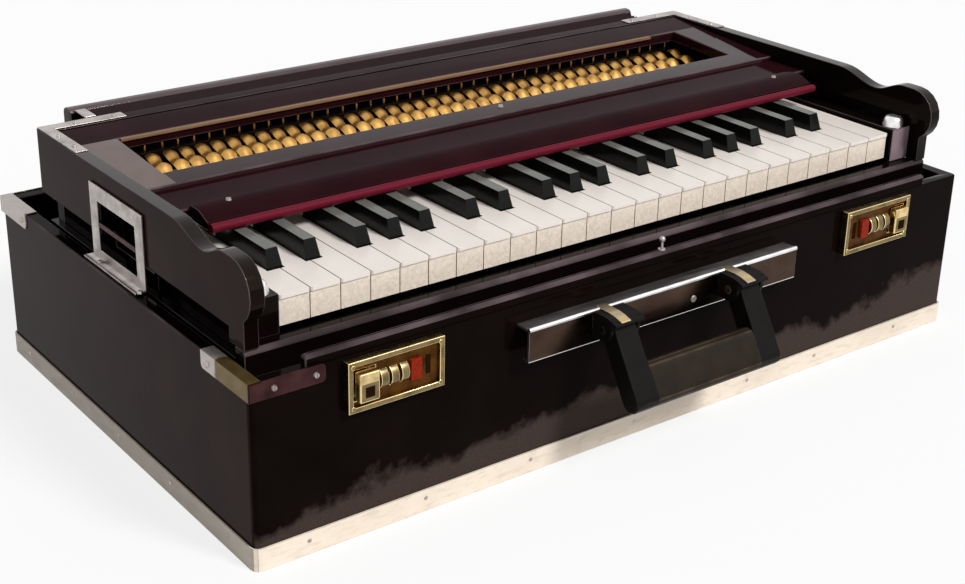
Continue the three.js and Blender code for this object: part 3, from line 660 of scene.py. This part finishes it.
def make_piece(bm, name, body, slot, *finishes, hides=None, soft=50):
    """Turns a bmesh into a finished piece that rides on a body.

    Edges sharper than soft degrees stay sharp in its shading.
    """
    bmesh.ops.recalc_face_normals(bm, faces=bm.faces)
    mesh = bpy.data.meshes.new(name)
    bm.to_mesh(mesh)
    bm.free()
    for entry in finishes:
        mesh.materials.append(finish(entry))
    piece = add_object(name, mesh)
    mesh.shade_smooth()
    mesh.set_sharp_from_angle(angle=radians(soft))
    even = piece.modifiers.new("even shading", "WEIGHTED_NORMAL")
    even.keep_sharp = True
    if body:
        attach(piece, body)
    if hides:
        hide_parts(hides)
    return piece


# Pieces


class HARMONIUM_OT_stage(bpy.types.Operator):
    """Camera, lamp, pale world and floor"""

    bl_idname = "harmonium.stage"
    bl_label = "Stage"

    def execute(self, context):
        scene, white = context.scene, chosen_colour("sky")
        scene.view_settings.view_transform = "Standard"
        camera = add_object("camera", bpy.data.cameras.new("camera"))
        camera.data.lens = CAMERA_LENS
        camera.data.shift_x, camera.data.shift_y = CAMERA_SHIFT
        place = Matrix.Translation(CAMERA_AT)
        for angle, axis in ((CAMERA_TURN, "Z"), (90 - CAMERA_RISE, "X"), (CAMERA_ROLL, "Z")):
            place @= Matrix.Rotation(radians(angle), 4, axis)
        camera.matrix_world = place
        scene.camera = camera

        lamp = add_object("key lamp", bpy.data.lights.new("key lamp", "SUN"))
        lamp.data.energy = LAMP_ENERGY
        lamp.data.angle = radians(LAMP_ANGLE)
        lamp.rotation_euler = towards(LAMP_FROM).to_euler()

        scene.world = bpy.data.worlds.new("pale room")
        add = start_tree(scene.world)
        strength = {"Value": self.seen(add), "To Min": SKY_ON_OBJECT, "To Max": 1}
        light = {"Color": white, "Strength": add("MapRange", strength)[0]}
        add("OutputWorld", {"Surface": add("Background", light)[0]})

        bm = bmesh.new()
        bmesh.ops.create_grid(bm, x_segments=1, y_segments=1, size=FLOOR_SIZE)
        mesh = bpy.data.meshes.new("floor")
        bm.to_mesh(mesh)
        bm.free()
        material = bpy.data.materials.new("white paper floor")
        add = start_tree(material)
        matt = add("BsdfDiffuse", {"Color": chosen_colour("floor")})[0]
        glow = add("Emission", {"Color": white, "Strength": 1})[0]
        share = add("MapRange", {"Value": self.seen(add), "To Max": FLOOR_WHITE})[0]
        surface = add("MixShader", {0: share, 1: matt, 2: glow})[0]
        add("OutputMaterial", {"Surface": surface})
        mesh.materials.append(material)
        add_object("floor", mesh)
        return {"FINISHED"}

    def seen(self, add):
        """1 for rays from the camera, a mirror or clear glass, 0 for light on the object."""
        path = add("LightPath")
        largest = path["Is Camera Ray"]
        for ray in ("Is Glossy Ray", "Is Transmission Ray"):
            largest = add("Math", {0: largest, 1: path[ray]}, operation="MAXIMUM")[0]
        return largest


class HARMONIUM_OT_case(bpy.types.Operator):
    """Lacquered case with its cream foot band and the lid's locating pin"""

    bl_idname = "harmonium.case"
    bl_label = "Case and foot band"

    def execute(self, context):
        # The front lip stands above the walls, and only it and the rims keep the mark for worn edges with
        # their painted highlight
        lip_top, lip_round, wall_x, rims, lip_face, lip_foot = 129.5, 2.4, 310, 116, -179.5, 126
        bm = rounded("case_shell", size("edge"), 2, lambda p: p.z > lip_top, lip_round)
        # Side walls painted lighter brown as their sheen
        paint(bm, 1, lambda p, n: abs(n.x) > FACING and abs(p.x) > wall_x)
        unrubbed(bm, lambda p: p.z < rims or (p.y < lip_face and p.z < lip_foot))
        make_piece(bm, "case", "case", "black_lacquer", "case", "wall", hides="case_shell")

        bm = rounded("base_trim", size("metal_edge"))
        # The left side of the band is painted darker as its shade
        paint(bm, 1, lambda p, n: n.x < -FACING)
        make_piece(bm, "foot_band", "case", "cream_band", "band", "band_side", hides="base_trim")

        low, high = box("base_trim")
        heads = [((x, low.y), (0, -1, 0)) for x in (-275, -190, -106, -15, 94, 165, 255)]
        heads += [((x, high.y), (0, 1, 0)) for x in (-270, -135, 0, 135, 270)]
        for y in (-150, -75, 0, 75, 150):
            heads += [((low.x, y), (-1, 0, 0)), ((high.x, y), (1, 0, 0))]
        nails, nail_z, proud, dome = bmesh.new(), 9.5, 0.4, 0.2
        for place, out in heads:
            disc(nails, (*place, nail_z), out, size("nail"), proud, 12, dome)
        make_piece(nails, "band_nails", "case", "nickel", "nickel")

        foot = Vector((6, -176, box("case_shell")[1].z))
        collar, stem, ball_radius, ball_z = (2.6, 0.8), (1.1, 6), 2.2, 7.4
        pin = disc(bmesh.new(), foot, UP, *collar, 20, 0.3)
        disc(pin, foot, UP, *stem, 16)
        place = Matrix.Translation((foot + Vector((0, 0, ball_z))) * MM)
        ball = {"u_segments": 20, "v_segments": 12, "radius": ball_radius * MM}
        bmesh.ops.create_uvsphere(pin, matrix=place, **ball)
        make_piece(pin, "lid_pin", "case", "nickel", "nickel")
        return {"FINISHED"}


class HARMONIUM_OT_corners(bpy.types.Operator):
    """Sheet metal corner pieces on the case's rim; the right front corner has none"""

    bl_idname = "harmonium.corners"
    bl_label = "Corner pieces"

    def execute(self, context):
        sheet, head = size("sheet"), size("screw")
        looks = {"front end": "front_corner", "rear end": "nickel"}
        end_screws, end_drop, side_drop = (295.5, 267.5), 5.2, 6
        screws = bmesh.new()
        for x_name, y_name in (("left", "front"), ("left", "rear"), ("right", "rear")):
            x_out = dict(SIDES)[x_name]
            y_out, side_from, screw_y = (-1, 125, 133) if y_name == "front" else (1, 136, 144)
            for leg, bm in self.legs(x_out, y_out, side_from, sheet):
                name = f"{y_name}_{x_name}_corner_{leg}"
                finish_name = looks.get(f"{y_name} {leg}", f"{y_name}_side_corner")
                make_piece(bm, name, "case", "nickel", finish_name)
            for x in end_screws:
                place = (x_out * x, y_out * (HALF_Y + sheet), RIM - end_drop)
                screw(screws, place, (0, y_out, 0), head)
            place = (x_out * (HALF_X + sheet), y_out * screw_y, RIM - side_drop)
            screw(screws, place, (x_out, 0, 0), head)
        make_piece(screws, "corner_screws", "case", "nickel", "nickel")
        return {"FINISHED"}

    def legs(self, x_out, y_out, side_from, sheet):
        """The strip over the side wall's rim, and the plate on the end wall."""
        drop, over, end_from = 11, 8, 261
        foot, top, inner = RIM - drop, RIM + sheet, HALF_X - over
        wall_x, wall_y = HALF_X + sheet, HALF_Y + sheet
        bent = [(HALF_X, foot), (HALF_X, RIM), (inner, RIM), (inner, top), (wall_x, top)]
        outline = [(x_out * x, y_out * side_from, z) for x, z in [*bent, (wall_x, foot)]]
        bm = extruded(outline, (0, y_out * (wall_y - side_from), 0))
        yield "side", self.round_end(bm, 1, side_from, foot + 1)
        flat = [(HALF_Y, foot), (HALF_Y, top), (wall_y, top), (wall_y, foot)]
        outline = [(x_out * end_from, y_out * y, z) for y, z in flat]
        bm = extruded(outline, (x_out * (wall_x - end_from), 0, 0))
        yield "end", self.round_end(bm, 0, end_from, top + 1)

    def round_end(self, bm, axis, end, below):
        """Rounds the leg's free end, which lies at end along axis, and all its edges a little."""
        free_round, edge_round, near, longest = 3, 0.25, 0.1, 1.5
        bm.normal_update()
        short = [e for e in bm.edges if e.calc_length() < longest * MM]
        middles = [((e.verts[0].co + e.verts[1].co) / 2 / MM, e) for e in short]
        corners = [e for m, e in middles if abs(abs(m[axis]) - end) < near and m.z < below]
        round_edges(bm, free_round, 4, chosen=corners)
        round_edges(bm, edge_round, 1, 40)
        return bm


class HARMONIUM_OT_brackets(bpy.types.Operator):
    """Nickel guide brackets with the cross bar of their window"""

    bl_idname = "harmonium.brackets"
    bl_label = "Guide brackets"

    def execute(self, context):
        bar_x, half, bar_front, bar_rear, bar_foot, bar_top = 301.1, 0.6, -25, 34, 146.5, 150
        screw_x, screw_z = 305.5, 124.8
        for side, out in SIDES:
            node = f"{side}_bracket"
            bm = rounded(node, size("metal_edge"))
            make_piece(bm, f"{side}_guide_bracket", "case", "nickel", "nickel", hides=node)
            low = (out * bar_x - half, bar_front, bar_foot)
            bar = block(low, (out * bar_x + half, bar_rear, bar_top), 0.3)
            make_piece(bar, f"{side}_bracket_bar", "case", "nickel", "front_corner")
            heads = bmesh.new()
            for y in (-34, 25):
                screw(heads, (out * screw_x, y, screw_z), UP, size("screw"))
            make_piece(heads, f"{side}_bracket_screws", "case", "nickel", "nickel")
        return {"FINISHED"}


class HARMONIUM_OT_handle(bpy.types.Operator):
    """Chrome channel rail with the swinging handle"""

    bl_idname = "harmonium.handle"
    bl_label = "Carrying handle"

    def execute(self, context):
        # The channel's front face, with the ears of the handle before it
        face, foot, low, high = -194, 88.5, 89, 110
        on_foot = {"wide": lambda p: p.y < face + 0.1 and p.z < foot, "wide_edge": 0.9}
        rail = rounded("handle_rail", size("cast_edge"), **on_foot)
        cut(rail, (0, face - 0.02, 0), (0, 1, 0))
        # The front face gets a painted dark reflection
        paint(rail, 1, lambda p, n: n.y < -FACING and abs(p.y - face) < 0.2 and low < p.z < high)
        paint(rail, 2, lambda p, n: p.y < face - 0.1)
        looks = ("chrome", "rail_front", "arms")
        make_piece(rail, "channel_rail", "case", "chrome", *looks, hides="handle_rail")

        rolled, rolled_at, half = 1.5, (-193.2, 110.6), 120
        lip = disc(bmesh.new(), (-half, *rolled_at), (1, 0, 0), rolled, 2 * half, 16, 0.4)
        # The rolled edge is painted bright as a highlight line
        make_piece(lip, "rail_rolled_edge", "case", "chrome", "chrome_bright")
        path = [(-190, 111.0), (-203.5, 111.0), (-209.5, 110.2), (-215.5, 108.6)]
        rib_thick, rib_wide, rib_at = 1.1, 8, 56
        for side, out in SIDES:
            start = out * rib_at - 7
            outline = [(start, y, z) for y, z in path]
            outline += [(start, y, z + rib_thick) for y, z in reversed(path)]
            rib = extruded(outline, (rib_wide, 0, 0), 0.4)
            make_piece(rib, f"{side}_strap_rib", "case", "brass", "strap")
        rivet = disc(bmesh.new(), (21, face, 97), (0, -1, 0), 2.4, 0.8, 20, 0.5)
        make_piece(rivet, "rail_rivets", "case", "chrome", "nickel")

        bm = rounded("handle", size("grip_edge"), 3)
        grip_half = 46.5
        for x in (-grip_half, grip_half):
            cut(bm, (x, 0, 0), (1, 0, 0))
        paint(bm, 1, lambda p, n: abs(p.x) < grip_half)
        body, slot, looks = "carrying_handle", "black_plastic", ("arms", "grip")
        make_piece(bm, "swing_handle", body, slot, *looks, hides="handle")
        return {"FINISHED"}


class HARMONIUM_OT_latches(bpy.types.Operator):
    """Brass combination latches with dials, red slider and push button"""

    bl_idname = "harmonium.latches"
    bl_label = "Latches"

    def execute(self, context):
        button_x, slider_x, slot_x, polished_from = 236.5, 200.7, 191, 107.5
        rivet_inset, rivet_y = 3.2, -187.3
        for side, out in SIDES:
            node = f"{side}_latch"
            bm = rounded(node, size("cast_edge"))
            paint(bm, 1, lambda p, n: -185.5 < p.y < -184.8 and n.y < -FACING)
            x = out * slider_x
            paint(bm, 2, lambda p, n: abs(p.x - x) < 4.3 and p.y < -185.3 and 97 < p.z < 112.6)
            looks = ("brass", "dark_brass", "slider")
            make_piece(bm, f"{side}_latch_plate", "case", "brass", *looks, hides=node)

            rides_on, button_node = f"{side}_button", f"{side}_latch_button"
            bm = rounded(button_node, 1, 3)
            # The button's upper part is painted bright as a highlight, its lower sides darker
            cut(bm, (0, 0, polished_from), UP)
            paint(bm, 1, lambda p, n: p.z < polished_from and abs(n.z) < FACING)
            looks, name = ("button", "brass"), f"{side}_push_button"
            make_piece(bm, name, rides_on, "brass", *looks, hides=button_node)
            x = out * button_x
            # A dark sheet on the button paints the shade of its recess
            recess = block((x - 3.2, -191.45, 98.4), (x + 3.2, -190.6, 105.2))
            make_piece(recess, f"{side}_button_recess", rides_on, "brass", "hollow")

            low, high = box(node)
            rivets = bmesh.new()
            for x in (low.x + rivet_inset, high.x - rivet_inset):
                for z in (low.z + rivet_inset, high.z - rivet_inset):
                    disc(rivets, (x, rivet_y, z), (0, -1, 0), 1.5, 0.5, 16, 0.35)
            make_piece(rivets, f"{side}_latch_rivets", "case", "brass", "brass")
            x = out * slot_x
            # A dark sheet paints the shade of the slot
            slot = block((x - 1.6, -185.4, 98.5), (x + 1.6, -184.9, 111))
            make_piece(slot, f"{side}_latch_slot", "case", "black_plastic", "hollow")
        return {"FINISHED"}


class HARMONIUM_OT_wind_chest(bpy.types.Operator):
    """Lacquered wind chest and the side panels with their scrolled cheeks"""

    bl_idname = "harmonium.wind_chest"
    bl_label = "Wind chest and side panels"

    def execute(self, context):
        front, rail_top, board_top = -156.5, 130.5, 170
        on_rail = {"wide": lambda p: p.y < front and p.z > rail_top, "wide_edge": 3}
        bm = rounded("wind_chest", size("edge"), **on_rail)
        paint(bm, 1, lambda p, n: n.z > FACING and p.z > board_top)
        make_piece(bm, "chest", UNIT, "black_lacquer", "panel", "board", hides="wind_chest")
        top_x, outer_x, cheek_front, cheek_back = 289, 299, -150, -140
        looks = ("panel", "panel_top", "worn_front", "wall")
        knob_x, knob_y, knob_foot, radius, height, dome = 281, -138, 156.7, 8.2, 8, 3.2
        for side, out in SIDES:
            node = f"{side}_side_panel"
            bm = rounded(node, size("edge"))
            paint(bm, 1, lambda p, n: n.z > 0.3 and abs(p.x) > top_x)
            if side == "right":
                # The right cheek block's front is painted grey as its reflection
                paint(bm, 2, lambda p, n: n.y < -FACING and cheek_front < p.y < cheek_back)
            # Outer sides painted lighter brown as their sheen
            paint(bm, 3, lambda p, n: abs(n.x) > FACING and abs(p.x) > outer_x)
            make_piece(bm, f"{side}_panel", UNIT, "black_lacquer", *looks, hides=node)
            place = (out * knob_x, knob_y, knob_foot)
            knob = disc(bmesh.new(), place, UP, radius, height, 32, dome, 0.8)
            # The knob is painted bright as a highlight
            make_piece(knob, f"{side}_cheek_knob", UNIT, "nickel", "chrome_bright")
        return {"FINISHED"}


class HARMONIUM_OT_window_frame(bpy.types.Operator):
    """Sloping window frame, its bare wood strip, the rear corner braces and screws"""

    bl_idname = "harmonium.window_frame"
    bl_label = "Window frame"

    def execute(self, context):
        bm = rounded("top_frame", size("edge") * 1.4)
        opening, front, rear = -259.7, -2, 87
        cut(bm, (opening, 0, 0), (1, 0, 0))
        cut(bm, (0, rear, 0), (0, 1, 0))
        paint(bm, 1, lambda p, n: p.y < front or p.y > rear)
        # The left border's top is painted lighter as its reflection
        paint(bm, 2, lambda p, n: p.x < opening and n.z > FACING and 0 < p.y < rear)
        looks = ("frame", "board", "faded")
        make_piece(bm, "window_frame", UNIT, "brown_lacquer", *looks, hides="top_frame")
        strip = block((-258, 85.2, 181.4), (232, 87.6, 184), 0.5)
        make_piece(strip, "window_strip", UNIT, "brown_lacquer", "strip")
        screws = bmesh.new()
        screw(screws, (14, 12, 179), (0, -0.07, 1), size("screw"))
        make_piece(screws, "frame_screws", UNIT, "nickel", "nickel")
        plan = [(299.5, 129.5), (299.5, 66), (290.5, 66)]
        plan += [(290.5, 119.5), (237, 119.5), (237, 129.5)]
        seat, thick = 187.02, 0.9
        heads = ((295, 78), (295, 104), (245, 124.5), (274, 124.5))
        for side, out in SIDES:
            outline = [(out * x, y, seat) for x, y in plan]
            brace = extruded(outline, (0, 0, thick), 0.3, 1)
            for x, y in heads:
                screw(brace, (out * x, y, 187.9), UP, size("screw") * 0.85)
            make_piece(brace, f"{side}_corner_brace", UNIT, "nickel", "nickel")
        return {"FINISHED"}


class HARMONIUM_OT_fall_board(bpy.types.Operator):
    """Fall board over the keys' tails, with its red felt bead"""

    bl_idname = "harmonium.fall_board"
    bl_label = "Fall board"

    def execute(self, context):
        low, high = box("fall_board")
        seam, bead_z, bead_radius, short = -62, 170, 3, 0.3
        bm = shape_of("fall_board")
        on_cut = cut(bm, (0, seam, 0), (0, -1, 0), clear=True)
        rim = [e for e in on_cut if isinstance(e, bmesh.types.BMEdge)]
        bmesh.ops.contextual_create(bm, geom=rim)
        join_flats(bm)
        round_edges(bm, size("edge"))
        make_piece(bm, "fall_board_wood", UNIT, "brown_lacquer", "board", hides="fall_board")
        start, wide = (low.x + short, low.y + bead_radius, bead_z), high.x - low.x - 2 * short
        bead = disc(bmesh.new(), start, (1, 0, 0), bead_radius, wide, 28, 0.8)
        make_piece(bead, "felt_bead", UNIT, "red_felt", "bead", hides="fall_board")
        screws = bmesh.new()
        for x in (-246, 246):
            screw(screws, (x, -44, high.z), UP, size("screw"))
        make_piece(screws, "fall_board_screws", UNIT, "nickel", "nickel")
        return {"FINISHED"}


class HARMONIUM_OT_key_springs(bpy.types.Operator):
    """Brass springs on the keys' tails, with their rail and guide pins"""

    bl_idname = "harmonium.key_springs"
    bl_label = "Key springs"

    def execute(self, context):
        low, high = box("key_springs")
        front, rear, foot, top, tail_from = 90, 100, 159, 168.9, 70
        rail = block((low.x, front, foot), (high.x, rear, top), 0.8)
        unrubbed(rail, lambda p: True)
        make_piece(rail, "spring_rail", UNIT, "black_lacquer", "panel", hides="key_springs")
        springs, pins = bmesh.new(), bmesh.new()
        for key in KEYS:
            points = (v.co / MM for v in nodes[key].data.vertices)
            tail = [p.x for p in points if p.y > tail_from]
            middle = (min(tail) + max(tail)) / 2
            self.spring(springs, middle)
            disc(pins, (middle, (front + rear) / 2, top), UP, 0.9, 4, 12, 0.5)
        make_piece(springs, "springs", UNIT, "brass", "spring", hides="key_springs", soft=60)
        make_piece(pins, "guide_pins", UNIT, "brass", "spring")
        return {"FINISHED"}

    def spring(self, bm, middle):
        """Leaf with a crowned back that bellies up twice over the key's tail, with a waist."""
        start, reach, foot, rise, thick = 38, 55, 154.4, 12.2, 0.7
        bellies, spread, tail_end, tail_fall = (0.53, 0.81), 0.11, 0.92, 50
        leaf = bmesh.new()
        bmesh.ops.create_grid(leaf, x_segments=4, y_segments=26, size=0.5)
        for vert in leaf.verts:
            across, along = vert.co.x * 2, vert.co.y + 0.5
            front, back = (exp(-(((along - at) / spread) ** 2)) for at in bellies)
            tail = 1 / (1 + exp((along - tail_end) * tail_fall))
            width = 1.4 + 2.2 * tail + 2.3 * front + 1.4 * back
            belly = 4 * front + 3 * back
            crown = (0.3 + tail + 1.6 * front + back) * (1 - across * across)
            lift = foot + along * rise + belly + crown
            vert.co = Vector((middle + across * width, start + along * reach, lift)) * MM
        bmesh.ops.recalc_face_normals(leaf, faces=leaf.faces)
        bmesh.ops.solidify(leaf, geom=leaf.faces[:], thickness=thick * MM)
        append(bm, leaf)


class HARMONIUM_OT_keys(bpy.types.Operator):
    """White keys of wood with celluloid tops and pearl fronts, and black keys of plastic"""

    bl_idname = "harmonium.keys"
    bl_label = "Keys"

    def execute(self, context):
        plate_foot, front_top, front_y, largest_round = 151.4, 151.6, -142.4, 4 * MM * MM
        looks = ("key_wood", "key_plate", "key_front")
        for key in (k for k in KEYS if "sharp" not in k):
            bm = shape_of(key)
            join_flats(bm)
            corners = [e for e in bm.edges if self.front_corner(e)]
            round_edges(bm, size("key_corner"), 3, chosen=corners)
            round_edges(bm, size("key_edge"))
            paint(bm, 1, lambda p, n: p.z > plate_foot)
            paint(bm, 2, lambda p, n: p.z <= front_top and p.y < front_y and n.y < -0.5)
            piece = make_piece(bm, f"white_{key}", key, "white_keys", *looks, hides=key)
            # Flat faces stay flat, only the rounds are smooth
            piece.modifiers.clear()
            for face in piece.data.polygons:
                face.use_smooth = face.area < largest_round
        for key in (k for k in KEYS if "sharp" in k):
            bm = rounded(key, size("sharp_edge"), 3)
            make_piece(bm, f"black_{key}", key, "black_keys", "black_key", hides=key)
        return {"FINISHED"}

    def front_corner(self, edge):
        """Whether an edge stands upright at the front of its key."""
        front, tall, upright = -143.5, 1, 0.01
        a, b = (v.co / MM for v in edge.verts)
        return a.y < front and abs(a.z - b.z) > tall and (a - b).xy.length < upright


class HARMONIUM_OT_bellows(bpy.types.Operator):
    """Bellows board with its catch, and the pleated folds behind the unit"""

    bl_idname = "harmonium.bellows"
    bl_label = "Bellows"

    def execute(self, context):
        bm = rounded("bellows_board", size("edge") * 1.6, 3)
        # The board's top is painted purple-grey as its sky reflection
        paint(bm, 1, lambda p, n: n.z > 0.5)
        looks, name = ("panel", "hazed"), "bellows_board_wood"
        make_piece(bm, name, "bellows", "black_lacquer", *looks, hides="bellows_board")

        low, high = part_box("bellows_folds")
        pleats, deep = 5, 4.5 * MM
        pitch = (high.y - low.y) / (2 * pleats)
        middle_z = (low.z + high.z) / 2
        folds = bmesh.new()
        corners = ((low.x, low.z), (high.x, low.z), (high.x, high.z), (low.x, high.z))
        ring = [folds.faces.new([folds.verts.new((x, low.y, z)) for x, z in corners])]
        for fold in range(2 * pleats):
            grown = bmesh.ops.extrude_face_region(folds, geom=ring)["geom"]
            verts = [v for v in grown if isinstance(v, bmesh.types.BMVert)]
            ring = [f for f in grown if isinstance(f, bmesh.types.BMFace)]
            outward = deep if fold % 2 else -deep
            bmesh.ops.translate(folds, vec=(0, pitch, 0), verts=verts)
            for vert in verts:
                vert.co.x += outward * (1 if vert.co.x > 0 else -1)
                if vert.co.z > middle_z:
                    vert.co.z += outward
        name, node = "bellows_cloth", "bellows_folds"
        piece = make_piece(folds, name, None, "fold_cloth", "folds", hides=node, soft=20)
        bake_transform(piece, UNIT, "bellows", start=(0, low.y, 0), end=(0, high.y, 0))

        left = box("bellows_board")[0].x
        catch = block((left + 4, 131, 187.1), (left + 12, 150, 188.3), 0.4)
        make_piece(catch, "bellows_catch", UNIT, "nickel", "nickel")
        return {"FINISHED"}


class HARMONIUM_PT_pieces(bpy.types.Panel):
    """The harmonium's operators, sizes and colours"""

    bl_idname = "HARMONIUM_PT_pieces"
    bl_label = "Harmonium"
    bl_space_type = "VIEW_3D"
    bl_region_type = "UI"
    bl_category = "Harmonium"

    def draw(self, context):
        for operator in OPERATORS:
            self.layout.operator(operator.bl_idname)
        for group in (context.scene.harmonium_sizes, context.scene.harmonium_colours):
            for name in type(group).__annotations__:
                self.layout.prop(group, name)


OPERATORS = (
    HARMONIUM_OT_stage,
    HARMONIUM_OT_case,
    HARMONIUM_OT_corners,
    HARMONIUM_OT_brackets,
    HARMONIUM_OT_handle,
    HARMONIUM_OT_latches,
    HARMONIUM_OT_wind_chest,
    HARMONIUM_OT_window_frame,
    HARMONIUM_OT_fall_board,
    HARMONIUM_OT_key_springs,
    HARMONIUM_OT_keys,
    HARMONIUM_OT_bellows,
)
CLASSES = (HarmoniumColours, HarmoniumSizes, *OPERATORS, HARMONIUM_PT_pieces)


def register():
    for item in CLASSES:
        bpy.utils.register_class(item)
    bpy.types.Scene.harmonium_colours = PointerProperty(type=HarmoniumColours)
    bpy.types.Scene.harmonium_sizes = PointerProperty(type=HarmoniumSizes)


def unregister():
    del bpy.types.Scene.harmonium_sizes
    del bpy.types.Scene.harmonium_colours
    for item in reversed(CLASSES):
        bpy.utils.unregister_class(item)


def main():
    register()
    for operator in OPERATORS:
        getattr(bpy.ops.harmonium, operator.bl_idname.split(".")[1])()


if __name__ == "__main__":
    main()
